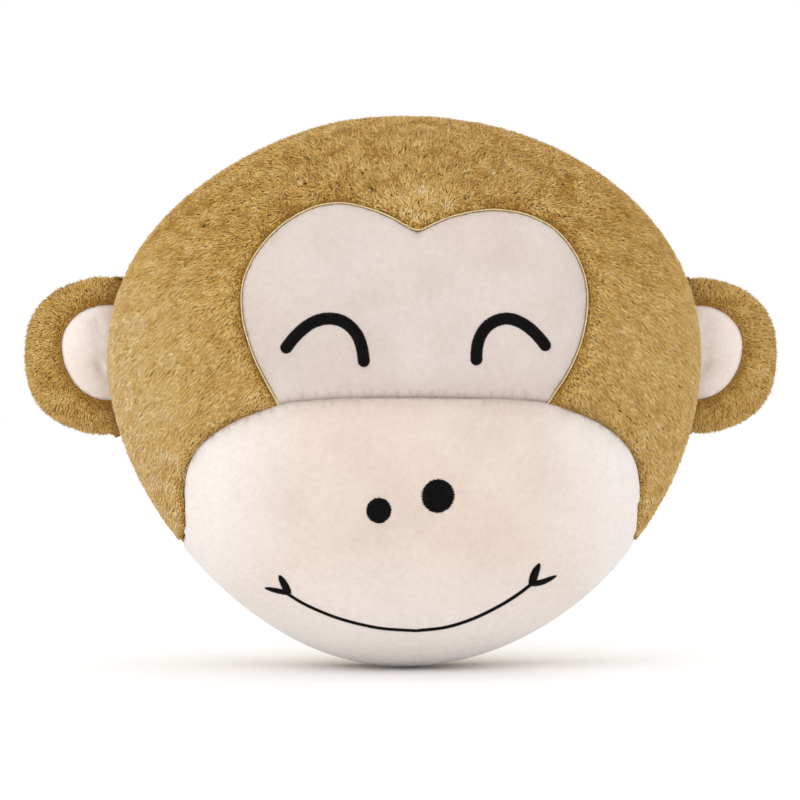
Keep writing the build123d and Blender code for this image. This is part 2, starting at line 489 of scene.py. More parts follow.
def hand_sewn(points):
    """The outline as it came out in the sewing: slack at the shoulders, fuller at the left ear."""
    x = points[:, 0]
    z = points[:, 2] - WIDEST_Z
    angle = np.arctan2(z, x)
    reach = np.hypot(x, z)
    on_left = smooth_step(-np.cos(angle), 0.0, 0.5)
    from_shoulder = np.abs(angle - math.pi / 2) - math.radians(48)
    shoulder = np.exp(-((from_shoulder / math.radians(26)) ** 2))
    grow = (-0.6 + 1.6 * np.cos(4 * (angle - math.pi))) * on_left - 1.8 * shoulder
    grow = grow * MM * reach / HALF_WIDTH
    moved = points.copy()
    moved[:, 0] += grow * np.cos(angle)
    moved[:, 2] = np.maximum(moved[:, 2] + grow * np.sin(angle), 0.0)
    return moved


def weld(bm):
    bmesh.ops.remove_doubles(bm, verts=bm.verts, dist=WELD)
    face_outwards(bm)


def sew(name, front, back, settle=lambda points: points):
    """One closed skin of a front and a back, each given as points, faces and cloths.

    settle may move the points before the two are welded."""
    mesh = bpy.data.meshes.new(name)
    faces = front[1] + [[i + len(front[0]) for i in f] for f in back[1]]
    mesh.from_pydata(settle(np.vstack([front[0], back[0]])).tolist(), [], faces)
    store(mesh, "cloth", np.concatenate([front[2], back[2]]), "FACE")
    reshape(mesh, weld)
    return mesh


head_skin = sew("head_skin", fold_front(), fold_back(), hand_sewn)
print("head skin", len(head_skin.vertices), "points", len(head_skin.polygons), "faces")


# %% [markdown]
# ## Filling the head
#
# Filling pushes each cloth out between its seams, and the seams hold it in. The skin is first drawn
# in a little along its seams, then Blender's cloth simulation blows it up with its seams pinned, so
# that the cloths swell and pucker as sewn ones do. The movement is capped.

# %% Sinking the seams and filling
SEAM_SINK = 2.2 * MM
FILL_FRAMES = 18
FILL_PRESSURE = 15.0
FILL_CAP = 6.0 * MM


def fill_with_cloth(mesh, pinned):
    """Blows the skin up with its seams held, and returns its capped points."""
    start = points_of(mesh)
    body = link("filling_body", mesh.copy())
    group = body.vertex_groups.new(name="seams")
    for index in np.nonzero(pinned)[0]:
        group.add([int(index)], 1.0, "REPLACE")
    cloth = body.modifiers.new("cloth", "CLOTH")
    settings = cloth.settings
    settings.quality = 6
    settings.mass = 0.2
    settings.tension_stiffness = 12
    settings.compression_stiffness = 12
    settings.shear_stiffness = 4
    settings.bending_stiffness = 0.35
    settings.use_pressure = True
    settings.uniform_pressure_force = FILL_PRESSURE
    settings.vertex_group_mass = "seams"
    settings.effector_weights.gravity = 0
    cloth.collision_settings.use_collision = False
    cloth.point_cache.frame_start = 1
    cloth.point_cache.frame_end = FILL_FRAMES
    scene = bpy.context.scene
    for step in range(1, FILL_FRAMES + 1):
        scene.frame_set(step)
    filled = points_of(evaluated_copy(body, "filled"))
    bpy.data.objects.remove(body)
    scene.frame_set(1)
    move = filled - start
    length = np.linalg.norm(move, axis=1)
    cap = FILL_CAP * np.tanh(length / FILL_CAP) / np.maximum(length, 1e-9)
    return start + move * cap[:, None]


head_seams = np.array([len(kinds) != 1 for kinds in cloths_at_points(head_skin)])
drawn_in = points_of(head_skin) - normals_of(head_skin) * (SEAM_SINK * head_seams)[:, None]
move_points(head_skin, drawn_in)
move_points(head_skin, fill_with_cloth(head_skin, head_seams))
moved = np.linalg.norm(points_of(head_skin) - drawn_in, axis=1)
print("filling moved", moved.max() / MM, "mm at most")


# %% Rounding the cloths
def crease_seams(mesh):
    """Seam edges stay where they are sewn when the skin is rounded."""
    kinds = {}
    for face, kind in zip(mesh.polygons, cloths_of_faces(mesh)):
        for key in face.edge_keys:
            kinds.setdefault(key, set()).add(int(kind))
    store(mesh, "crease_edge", [float(len(kinds[edge.key]) > 1) for edge in mesh.edges], "EDGE")


def subdivided(mesh, name, levels):
    crease_seams(mesh)
    thing = link(name, mesh)
    smooth = thing.modifiers.new("smooth", "SUBSURF")
    smooth.levels = levels
    smooth.render_levels = levels
    fine = evaluated_copy(thing, name)
    bpy.data.objects.remove(thing)
    return fine


fine_head = subdivided(head_skin, "fine_head", 1)
print("fine head", len(fine_head.polygons), "faces")


# %% [markdown]
# ## Grooves and pile depth
#
# The formulas give the outside of the pile. The plush backing lies a pile's depth further in, except
# beside the velour, where both cloths go down into one seam. Each point is moved along its normal
# by how far it is from the seams.


# %% Seams pressed in
PILE_DEPTH = 2.2 * MM
VELOUR_DEPTH = 0.4 * MM
PILE_SLOPE = 7 * MM


def between(mesh, kinds_a, kinds_b):
    """Places of the points that lie between one group of cloths and another."""
    meeting = cloths_at_points(mesh)
    return points_of(mesh)[[bool(k & set(kinds_a)) and bool(k & set(kinds_b)) for k in meeting]]


def press_seams(mesh, plush, velour_kinds, pile_depth, groove, width):
    """Lays the plush backing a pile's depth in, and presses every seam into a groove.

    The groove is shallow between two velours. Each point keeps its distance to the velour."""
    points = points_of(mesh)
    to_velour = distance_to(points, between(mesh, plush, velour_kinds))
    all_kinds = sorted(set(cloths_of_faces(mesh).tolist()))
    others = {k: tuple(j for j in all_kinds if j != k) for k in all_kinds}
    to_seam = distance_to(points, np.vstack([between(mesh, (k,), others[k]) for k in all_kinds]))
    is_plush = np.array([kinds <= set(plush) for kinds in cloths_at_points(mesh)])
    sunk = pile_depth * smooth_step(to_velour, 0, PILE_SLOPE)
    share = np.ones(len(points))
    if len(velour_kinds) > 1:
        flat_seam = between(mesh, velour_kinds[:1], velour_kinds[1:])
        share = 0.2 + 0.8 * smooth_step(distance_to(points, flat_seam), 2 * MM, 12 * MM)
    deep = np.where(is_plush, sunk, VELOUR_DEPTH)
    deep = deep + groove * share * np.exp(-((to_seam / width) ** 1.3))
    move_points(mesh, points - normals_of(mesh) * deep[:, None])
    store(mesh, "to_velour", to_velour)


PLUSH_KINDS = (PLUSH, BACK_LEFT, BACK_RIGHT)
press_seams(fine_head, PLUSH_KINDS, (PATCH, MUZZLE), PILE_DEPTH, 1.6 * MM, 2.6 * MM)


def cloth_piece(mesh, kind, name, keep=lambda middle: True):
    """The faces of one cloth as their own mesh, or those whose middles are to be kept."""

    def drop_others(bm):
        layer = bm.faces.layers.int["cloth"]
        others = [f for f in bm.faces if f[layer] != kind or not keep(f.calc_center_median())]
        bmesh.ops.delete(bm, geom=others, context="FACES")

    made = bpy.data.meshes.new(name)
    reshape(mesh, drop_others, made)
    smooth_shaded(made)
    return made


def with_thickness(thing, thick):
    wall = thing.modifiers.new("thickness", "SOLIDIFY")
    wall.thickness = thick
    wall.offset = -1
    wall.use_rim = True
    mesh = evaluated_copy(thing, thing.name)
    thing.modifiers.clear()
    thing.data = mesh
    return thing


def declare(thing, node, slot, fill=None, body="head", bend=None):
    """Joins a piece to its body, or, given a bend, bakes its place into its points instead; hides its
    imported part.
    """
    if bend:
        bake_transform(thing)
    else:
        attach(thing, body)
    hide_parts(node)
    return thing


# %% [markdown]
# ## Node trees in plain Python
#
# Materials and Geometry Nodes are both trees of nodes. One small class wraps a socket, so that an
# expression such as 0.3 * mask adds the Math nodes it needs, and one method adds any other node.


# %% Node helpers
class Socket:
    """One output in a node tree, used in plain expressions."""

    def __init__(self, tree, socket):
        self.tree = tree
        self.socket = socket

    def math(self, operation, *values):
        return self.tree.node("ShaderNodeMath", {"operation": operation}, list(values))

    def __add__(self, other):
        return self.math("ADD", self, other)

    def __radd__(self, other):
        return self.math("ADD", other, self)

    def __sub__(self, other):
        return self.math("SUBTRACT", self, other)

    def __mul__(self, other):
        return self.math("MULTIPLY", self, other)

    def __rmul__(self, other):
        return self.math("MULTIPLY", other, self)


class Tree:
    """A node tree of a material or of Geometry Nodes."""

    def __init__(self, nodes):
        self.tree = nodes

    def node(self, kind, settings=None, inputs=None, output=0):
        made = self.tree.nodes.new(kind)
        for key, value in (settings or {}).items():
            if key == "stops":
                ramp = made.color_ramp
                while len(ramp.elements) < len(value):
                    ramp.elements.new(0.5)
                for stop, (at, colour) in zip(ramp.elements, value):
                    stop.position = at
                    stop.color = (*colour, 1.0)
            else:
                setattr(made, key, value)
        pairs = inputs.items() if isinstance(inputs, dict) else enumerate(inputs or [])
        for key, value in pairs:
            target = made.inputs[key]
            if isinstance(value, Socket):
                self.tree.links.new(value.socket, target)
            elif value is not None:
                target.default_value = value
        return Socket(self, made.outputs[output]) if len(made.outputs) else made


class Finish(Tree):
    """A material with one Principled shader."""

    def __init__(self, name, **fixed):
        self.material = bpy.data.materials.new(name)
        self.material.use_nodes = True
        super().__init__(self.material.node_tree)
        self.shader = self.tree.nodes["Principled BSDF"]
        for key, value in fixed.items():
            self.shader.inputs[key.replace("_", " ")].default_value = value
        self.place = self.node("ShaderNodeTexCoord", output="Object")

    def noise(self, size, detail=2.0, roughness=0.5, stretch=None):
        """Noise with lumps of about this size, in metres."""
        place = self.place
        if stretch:
            place = self.node("ShaderNodeMapping", {}, {"Vector": place, "Scale": stretch})
        values = {"Vector": place, "Scale": 1 / size, "Detail": detail, "Roughness": roughness}
        return self.node("ShaderNodeTexNoise", {}, values)

    def ramp(self, factor, stops):
        return self.node("ShaderNodeValToRGB", {"stops": stops}, [factor])

    def blend(self, factor, a, b, kind="MIX"):
        """One colour laid over another."""
        mix = self.tree.nodes.new("ShaderNodeMix")
        mix.data_type = "RGBA"
        mix.blend_type = kind
        for index, value in ((0, factor), (6, a), (7, b)):
            if isinstance(value, Socket):
                self.tree.links.new(value.socket, mix.inputs[index])
            else:
                mix.inputs[index].default_value = value if index == 0 else (*value, 1.0)
        return Socket(self, mix.outputs[2])

    def surface(self, colour=None, roughness=None, bump=None, depth=0.3 * MM):
        if colour is not None:
            self.tree.links.new(colour.socket, self.shader.inputs["Base Color"])
        if roughness is not None:
            self.tree.links.new(roughness.socket, self.shader.inputs["Roughness"])
        if bump is not None:
            values = {"Strength": 1.0, "Distance": depth, "Height": bump}
            normal = self.node("ShaderNodeBump", {}, values)
            self.tree.links.new(normal.socket, self.shader.inputs["Normal"])
        return self.material


def shade(red, green, blue):
    """A colour given in everyday 0 to 255 values, as the linear one that shaders use."""
    parts = [c / 255 for c in (red, green, blue)]
    return tuple(c / 12.92 if c <= 0.04045 else ((c + 0.055) / 1.055) ** 2.4 for c in parts)


# %% [markdown]
# ## Velour
#
# Velour is a knit with a very short, dense nap. It is matt, it lightens at grazing angles, and the
# nap lies unevenly, so it is faintly blotched. The noise is in object space, so it stays put. On the
# muzzle, sheen and light are also painted into the colour: it turns whiter at its sides and chin.


# %% Velour finishes
def velour(name, light, dark, blush, painted_sheen=None):
    """Velour between a light and a dark tone, warmed in places, with a painted sheen: whiter beyond a
    half-width and low down.
    """
    sheen = {"Sheen_Weight": 0.3, "Sheen_Roughness": 0.45}
    finish = Finish(name, Roughness=0.92, Specular_IOR_Level=0.2, **sheen)
    blotch = finish.noise(38 * MM, 2.0, 0.5)
    nap = finish.noise(3.2 * MM, 3.0, 0.6)
    fibre = finish.noise(0.55 * MM, 2.0, 0.6)
    tone = finish.ramp(blotch, [(0.34, dark), (0.66, light)])
    warm = finish.ramp(finish.noise(70 * MM, 1.0), [(0.42, (0, 0, 0)), (0.68, (1, 1, 1))])
    colour = finish.blend(0.3 * warm, tone, blush)
    if painted_sheen:
        # Painted sheen and painted light: whiter from start to end across from the middle, and below
        # low towards the chin.
        start, end, low, white = painted_sheen  # across, from the middle, and the height of the chin
        parts = finish.node("ShaderNodeSeparateXYZ", {}, [finish.place])
        aside = parts.math("ABSOLUTE", parts)
        height = Socket(finish, parts.socket.node.outputs[2])
        painted_sheen_side_mask = finish.node("ShaderNodeMapRange", {}, [aside, start, end, 0.0, 1.0])
        painted_light_low_mask = finish.node("ShaderNodeMapRange", {}, [height, low, low * 0.3, 0.0, 1.0])
        colour = finish.blend(painted_sheen_side_mask.math("MAXIMUM", painted_sheen_side_mask, painted_light_low_mask), colour, white)
    grain = finish.ramp(0.5 * nap + 0.5 * fibre, [(0.36, (0.9, 0.895, 0.89)), (0.62, (1.0, 1.0, 1.0))])
    colour = finish.blend(1.0, colour, grain, "MULTIPLY")
    rough = 0.86 + 0.12 * fibre
    return finish.surface(colour, rough, 0.6 * fibre + 0.4 * nap, 0.35 * MM)


# Painted sheen and painted light on the muzzle: whiter from 60 to 104 mm out from the middle and below
# 70 mm.
PAINTED_SHEEN_MUZZLE = (60 * MM, 104 * MM, 70 * MM, shade(236, 228, 223))
face_velour = velour("face_velour", shade(216, 204, 197), shade(207, 193, 185), shade(215, 196, 186))
muzzle_velour = velour(
    "muzzle_velour", shade(225, 210, 199), shade(218, 201, 190), shade(227, 203, 186), PAINTED_SHEEN_MUZZLE
)
inner_ear_velour = velour(
    "inner_ear_velour", shade(252, 243, 239), shade(244, 230, 223), shade(249, 231, 223)
)


# %% [markdown]
# ## Threads, plush backing, filling and label
#
# Satin stitch is glossy black thread laid side by side. The plush has a woven backing, darker than
# the pile, that shows between tufts.


# %% Other finishes
def thread(name, dark, light, rough, shine):
    finish = Finish(name, Roughness=rough, Specular_IOR_Level=shine)
    strand = finish.noise(0.7 * MM, 2.0)
    colour = finish.ramp(strand, [(0.35, dark), (0.7, light)])
    return finish.surface(colour, rough - 0.08 + 0.16 * strand, finish.noise(0.25 * MM), 0.08 * MM)


THREADS = {
    "black_thread": thread(
        "black_thread", (0.0012, 0.001, 0.001), (0.005, 0.004, 0.004), 0.4, 0.12
    ),
    "tan_thread": thread("tan_thread", shade(204, 174, 112), shade(246, 226, 172), 0.6, 0.3),
}


def backing():
    finish = Finish("plush_backing", Roughness=0.95)
    knit = finish.noise(1.4 * MM, 3.0, 0.6)
    colour = finish.ramp(knit, [(0.3, shade(150, 108, 44)), (0.7, shade(186, 142, 74))])
    return finish.surface(colour, None, knit, 0.5 * MM)


def fibre():
    finish = Finish("fibre_fill", Roughness=0.9, Subsurface_Weight=0.1)
    lump = finish.noise(9 * MM, 5.0, 0.65)
    colour = finish.ramp(lump, [(0.3, shade(214, 212, 206)), (0.65, shade(248, 247, 244))])
    return finish.surface(colour, None, lump, 1.2 * MM)


def satin():
    finish = Finish("label_satin", Roughness=0.35, Sheen_Weight=0.2)
    weave = finish.noise(0.5 * MM, 1.0, 0.5, (0.25, 1.0, 3.0))
    colour = finish.ramp(weave, [(0.3, shade(214, 211, 202)), (0.7, shade(238, 236, 229))])
    return finish.surface(colour, 0.28 + 0.2 * weave, weave, 0.05 * MM)


plush_backing = backing()
fibre_fill = fibre()
label_satin = satin()
print("materials", len(bpy.data.materials))


# %% [markdown]
# ## The head's cloths
#
# The rounded skin is parted along its seams into the five cut cloths, each a closed sheet with its
# own thickness. The plush backing lies deeper than the velour, to leave room for its pile.


# %% Head cloths
CLOTH_THICK = 1.4 * MM
HEAD_FILL = 0.85
HEAD_CLOTHS = [
    (PATCH, "face_patch_velour", "face_patch", face_velour, "face_velour"),
    (MUZZLE, "muzzle_velour_cloth", "muzzle_panel", muzzle_velour, "muzzle_velour"),
    (PLUSH, "front_plush_backing", "front_fur_panel", plush_backing, "tan_plush"),
    (BACK_LEFT, "back_left_backing", "back_left_panel", plush_backing, "tan_plush"),
    (BACK_RIGHT, "back_right_backing", "back_right_panel", plush_backing, "tan_plush"),
]


def cut_piece(mesh, kind, name, material, thick):
    """One cut cloth as an object: its faces, its finish and its thickness."""
    thing = link(name, cloth_piece(mesh, kind, name))
    thing.data.materials.append(material)
    return with_thickness(thing, thick)


for kind, name, node, material, slot in HEAD_CLOTHS:
    piece = cut_piece(fine_head, kind, name, material, CLOTH_THICK)
    declare(piece, node, slot, HEAD_FILL)
    print(name, len(piece.data.polygons), "faces")


# %% [markdown]
# ## Filling
#
# The filling is loose polyester fibre. It doesn't show, but it is there when the cushion is taken
# apart: a lumpy copy of the skin, a little smaller.


# %% Fibre filling
FILL_INSET = 7.5 * MM
FILL_LUMP = 2.0 * MM
FILL_LUMP_SIZE = 14 * MM


def fibre_copy(skin, name, points):
    """The skin again as a lump of fibre, at these points."""
    made = skin.copy()
    made.name = name
    move_points(made, points)
    made.materials.clear()
    made.materials.append(fibre_fill)
    return link(name, made)


def lumps(points, waves):
    """A bumpy value from -1 to 1, from one wave along each axis."""
    return (
        np.sin(points[:, 0] * waves[0])
        * np.sin(points[:, 1] * waves[1] + 1)
        * np.sin(points[:, 2] * waves[2] + 2)
    )


skin_points = points_of(head_skin)
wave = 1 / FILL_LUMP_SIZE
bumps = lumps(skin_points, (wave * 2.1, wave * 2.7, wave * 2.3))
inset = (FILL_INSET + FILL_LUMP * (bumps + 1) / 2)[:, None]
filled_points = skin_points - normals_of(head_skin) * inset
piece = fibre_copy(head_skin, "head_fibre_filling", filled_points)
declare(piece, "head_filling", "fibre_fill", HEAD_FILL)
print(piece.name, "lumps of", FILL_LUMP / MM, "mm")


# %% [markdown]
# ## Ears
#
# Each ear is a flat bag of plush with a velour patch let into its front, lightly filled, and caught in
# the side seam along its root. It is thin at the root and full towards its rim. The same pattern
# cutting serves, and the left ear is the right one's mirror image.

# %% Ear shape
EAR_CENTRE_X = 150 * MM
EAR_PILE = 1.8 * MM
EAR_REACH = EAR_RIM_X - EAR_CENTRE_X - EAR_PILE * 0.8
EAR_HALF_HEIGHT = 43 * MM - EAR_PILE * 0.4
EAR_FULLNESS = 12 * MM
EAR_ROOT_SHARE = 0.35
EAR_TUCK = 8 * MM
EAR_STEP = 2.9 * MM
EAR_ROUNDNESS = 2.55
EAR_MIDDLE_X = 184 * MM
INNER_EAR_CENTRE = np.array([160 * MM, 174 * MM])
INNER_EAR_RADIUS = 25 * MM
INNER_EAR_RISE = 21.5 * MM
INNER_EAR_DROP = 30 * MM
EAR_PLUSH, EAR_INNER, EAR_BACK = range(3)


def ear_root(z):
    """Where the ear goes into the side seam, a little inside the head's outline."""
    return half_width(z) - EAR_TUCK


def ear_rim(z):
    return EAR_CENTRE_X + EAR_REACH * squircle((z - WIDEST_Z) / EAR_HALF_HEIGHT, EAR_ROUNDNESS)


def ear_outline():
    up = np.linspace(-math.pi / 2, math.pi / 2, 90)
    z = WIDEST_Z + EAR_HALF_HEIGHT * 0.995 * np.sin(up)
    rim = np.stack([np.maximum(ear_rim(z), ear_root(z) + 4 * MM), z], 1)
    down = z[::-3]
    root = np.stack([ear_root(down), down], 1)
    return np.vstack([rim, root])


def ear_depth(xz):
    z = xz[:, 1]
    along = np.clip((xz[:, 0] - ear_root(z)) / (ear_rim(z) - ear_root(z)), 0, 1)
    swell = EAR_ROOT_SHARE + (1 - EAR_ROOT_SHARE) * along
    full = EAR_FULLNESS * squircle((z - WIDEST_Z) / EAR_HALF_HEIGHT, 2.6)
    return full * swell * 2 * np.sqrt(along * (1 - along))


EAR_DIMPLES = [(165.5, 184.0, 1.9), (165.5, 174.5, 1.7), (164.5, 162.5, 2.8)]
DIMPLE_LENGTH = 4.6 * MM
DIMPLE_WIDTH = 2.0 * MM


def ear_folds(xz):
    """Small slanting dimples of the velour near the root, where the ear bends into the head."""
    depth = np.zeros(len(xz))
    for x, z, deep in EAR_DIMPLES:
        along = ((xz[:, 0] - x * MM) * 0.6 + (xz[:, 1] - z * MM) * 0.8) / DIMPLE_LENGTH
        across = ((xz[:, 0] - x * MM) * 0.8 - (xz[:, 1] - z * MM) * 0.6) / DIMPLE_WIDTH
        depth -= deep * MM * np.exp(-(along**2) - across**2)
    return depth


def sew_ear():
    outline = ear_outline()
    pattern = Pattern((EAR_MIDDLE_X, WIDEST_Z), outline, 1.12)
    turn = np.linspace(-math.pi * 0.56, math.pi * 0.56, 60)
    tall = np.where(turn > 0, INNER_EAR_RISE, INNER_EAR_DROP)
    ring = INNER_EAR_CENTRE + np.stack([INNER_EAR_RADIUS * np.cos(turn), tall * np.sin(turn)], 1)
    ring = ring[ring[:, 0] > ear_root(ring[:, 1]) + 0.5 * MM]
    in_head = 130 * MM
    patch_loop = np.vstack([ring, [(in_head, ring[-1][1])], [(in_head, ring[0][1])]])
    gaps = np.linalg.norm(outline - np.roll(outline, 1, axis=0), axis=1)
    even_outline = outline[gaps > 0.1 * MM]
    sides = []
    for seams, sign in (([ring], -1), ([], 1)):
        flat, faces = cut_cloth(pattern, even_outline, seams, EAR_STEP)
        xz = pattern.fold(flat)
        middle = np.array([xz[f].mean(0) for f in faces])
        depth = ear_depth(xz)
        if sign < 0:
            in_patch = inside(xz, patch_loop)
            depth = depth + np.where(in_patch, ear_folds(xz), 0)
            kind = np.where(inside(middle, patch_loop), EAR_INNER, EAR_PLUSH)
        else:
            kind = np.full(len(faces), EAR_BACK)
        points = np.stack([xz[:, 0], EAR_Y + sign * depth, xz[:, 1]], 1)
        sides.append((points, faces if sign < 0 else [f[::-1] for f in faces], kind))
    return sew("ear_skin", *sides)


right_ear_skin = sew_ear()
print("ear skin", len(right_ear_skin.vertices), "points")
fine_ear = subdivided(right_ear_skin, "fine_ear", 1)
press_seams(fine_ear, (EAR_PLUSH, EAR_BACK), (EAR_INNER,), 0.8 * MM, 0.9 * MM, 1.8 * MM)


def mirror_mesh(mesh, name):
    """The mirror image in X, with its faces turned back to look outwards."""

    def mirror(bm):
        for v in bm.verts:
            v.co.x = -v.co.x
        bmesh.ops.reverse_faces(bm, faces=bm.faces)

    made = mesh.copy()
    made.name = name
    reshape(made, mirror)
    return made


# %% Ear cloths
EAR_THICK = 0.8 * MM
EAR_FILL = 0.6
BEND_BEFORE = 2.5 * MM
BEND_AFTER = 5 * MM
EAR_CLOTHS = [
    (EAR_PLUSH, "ear_front_backing", "ear_front", plush_backing, "tan_plush"),
    (EAR_INNER, "inner_ear_velour", "inner_ear", inner_ear_velour, "inner_ear_velour"),
    (EAR_BACK, "ear_back_backing", "ear_back", plush_backing, "tan_plush"),
]


def joint_place(name):
    return next(j for j in frame["joints"] if j["name"] == name)["pos_m"]


fine_ears = {"right": fine_ear, "left": mirror_mesh(fine_ear, "fine_left_ear")}
ear_bend = {}
for side, mesh in fine_ears.items():
    out = 1 if side == "right" else -1
    x, y, z = joint_place(f"{side}_ear_flex")
    ear_bend[side] = ((x - out * BEND_BEFORE, y, z), (x + out * BEND_AFTER, y, z))
    for kind, name, node, material, slot in EAR_CLOTHS:
        piece = cut_piece(mesh, kind, f"{side}_{name}", material, EAR_THICK)
        declare(piece, f"{side}_{node}", slot, EAR_FILL, f"{side}_ear", ear_bend[side])
print("ears bend between", ear_bend)


# %% Ear filling
EAR_FILL_SHARE = (0.72, 0.6, 0.8)
EAR_FILL_LUMP = 0.4 * MM
EAR_LUMP_WAVES = (700, 620, 800)
ear_skins = {"right": right_ear_skin, "left": mirror_mesh(right_ear_skin, "left_ear_skin")}
for side, skin in ear_skins.items():
    middle = np.array([EAR_MIDDLE_X if side == "right" else -EAR_MIDDLE_X, EAR_Y, WIDEST_Z])
    points = middle + (points_of(skin) - middle) * EAR_FILL_SHARE
    bumps = lumps(points[:, [0, 2, 1]], EAR_LUMP_WAVES)
    points = points + normals_of(skin) * (EAR_FILL_LUMP * bumps)[:, None]
    piece = fibre_copy(skin, f"{side}_ear_fibre_filling", points)
    declare(piece, f"{side}_ear_filling", "fibre_fill", EAR_FILL, f"{side}_ear", ear_bend[side])


# %% [markdown]
# ## Plush pile
#
# Plush is a backing cloth with thousands of short tufts. Here each tuft is a small bent blade, and
# Geometry Nodes scatter the blades over the backing. Each blade leans along the way the pile is
# combed, with some scatter, and neighbouring blades lean alike, as brushed tufts do. The comb's
# direction and the pile's length are stored on the backing, so one tree serves every cloth.


# %% One tuft
TUFT_LENGTH = 5.2 * MM
TUFT_WIDTH = 0.85 * MM
TUFT_BELLY = (0.42, 0.22)
TUFT_TIP = (1.0, 0.33)


def make_tuft():
    """A slim leaf that rises and bends over towards +X: a root, a belly of three points, a tip."""
    forward, up = (share * TUFT_LENGTH for share in TUFT_BELLY)
    points = [
        (0.0, 0.0, -0.3 * MM),
        (forward, -TUFT_WIDTH / 2, up),
        (forward, TUFT_WIDTH / 2, up),
        (forward, 0.0, up + TUFT_WIDTH * 0.45),
        (TUFT_TIP[0] * TUFT_LENGTH, 0.0, TUFT_TIP[1] * TUFT_LENGTH),
    ]
    faces = [(0, 2, 1), (0, 3, 2), (0, 1, 3), (4, 1, 2), (4, 2, 3), (4, 3, 1)]
    mesh = bpy.data.meshes.new("tuft")
    mesh.from_pydata(points, [], faces)
    store(mesh, "along", [0.0, 0.45, 0.45, 0.5, 1.0])
    store(mesh, "across", [0.0, -1.0, 1.0, 0.0, 0.0])
    smooth_shaded(mesh)
    reshape(mesh, face_outwards)
    return link("tuft", mesh)


tuft = make_tuft()


# %% The tree that scatters tufts
class Growth(Tree):
    """A Geometry Nodes tree with named inputs."""

    def __init__(self, name, inputs):
        self.group = bpy.data.node_groups.new(name, "GeometryNodeTree")
        super().__init__(self.group)
        self.group.interface.new_socket("Geometry", in_out="INPUT", socket_type="NodeSocketGeometry")
        for key, kind in inputs.items():
            self.group.interface.new_socket(key, in_out="INPUT", socket_type=kind)
        self.group.interface.new_socket("Geometry", in_out="OUTPUT", socket_type="NodeSocketGeometry")
        entry = self.tree.nodes.new("NodeGroupInput")
        self.entry = {socket.name: Socket(self, socket) for socket in entry.outputs if socket.name}

    def close(self, geometry):
        end = self.tree.nodes.new("NodeGroupOutput")
        self.tree.links.new(geometry.socket, end.inputs[0])

    def named(self, name, kind):
        return self.node("GeometryNodeInputNamedAttribute", {"data_type": kind}, {"Name": name})

    def random(self, low, high, seed, kind="FLOAT"):
        first, output = (0, 0) if kind == "FLOAT_VECTOR" else (2, 1)
        values = {first: low, first + 1: high, "Seed": seed}
        return self.node("FunctionNodeRandomValue", {"data_type": kind}, values, output)

    def vector(self, operation, *values):
        return self.node("ShaderNodeVectorMath", {"operation": operation}, list(values))

    def scaled(self, vector, factor):
        scale = {0: vector, "Scale": factor}
        return self.node("ShaderNodeVectorMath", {"operation": "SCALE"}, scale)

    def turned(self, up, forward):
        """The rotation that takes Z to up, and X as near to forward as it can be."""
        axes = {"primary_axis": "Z", "secondary_axis": "X"}
        return self.node("FunctionNodeAxesToRotation", axes, {0: up, 1: forward})

    def lumps(self, place, size, detail, output):
        """Noise with lumps of about this size: its value is output 0, its colour output 1."""
        values = {"Vector": place, "Scale": 1 / size, "Detail": detail}
        return self.node("ShaderNodeTexNoise", {}, values, output)

    def kept(self, geometry, name, value, kind, domain):
        values = {"Geometry": geometry, "Name": name, "Value": value}
        settings = {"data_type": kind, "domain": domain}
        return self.node("GeometryNodeStoreNamedAttribute", settings, values)


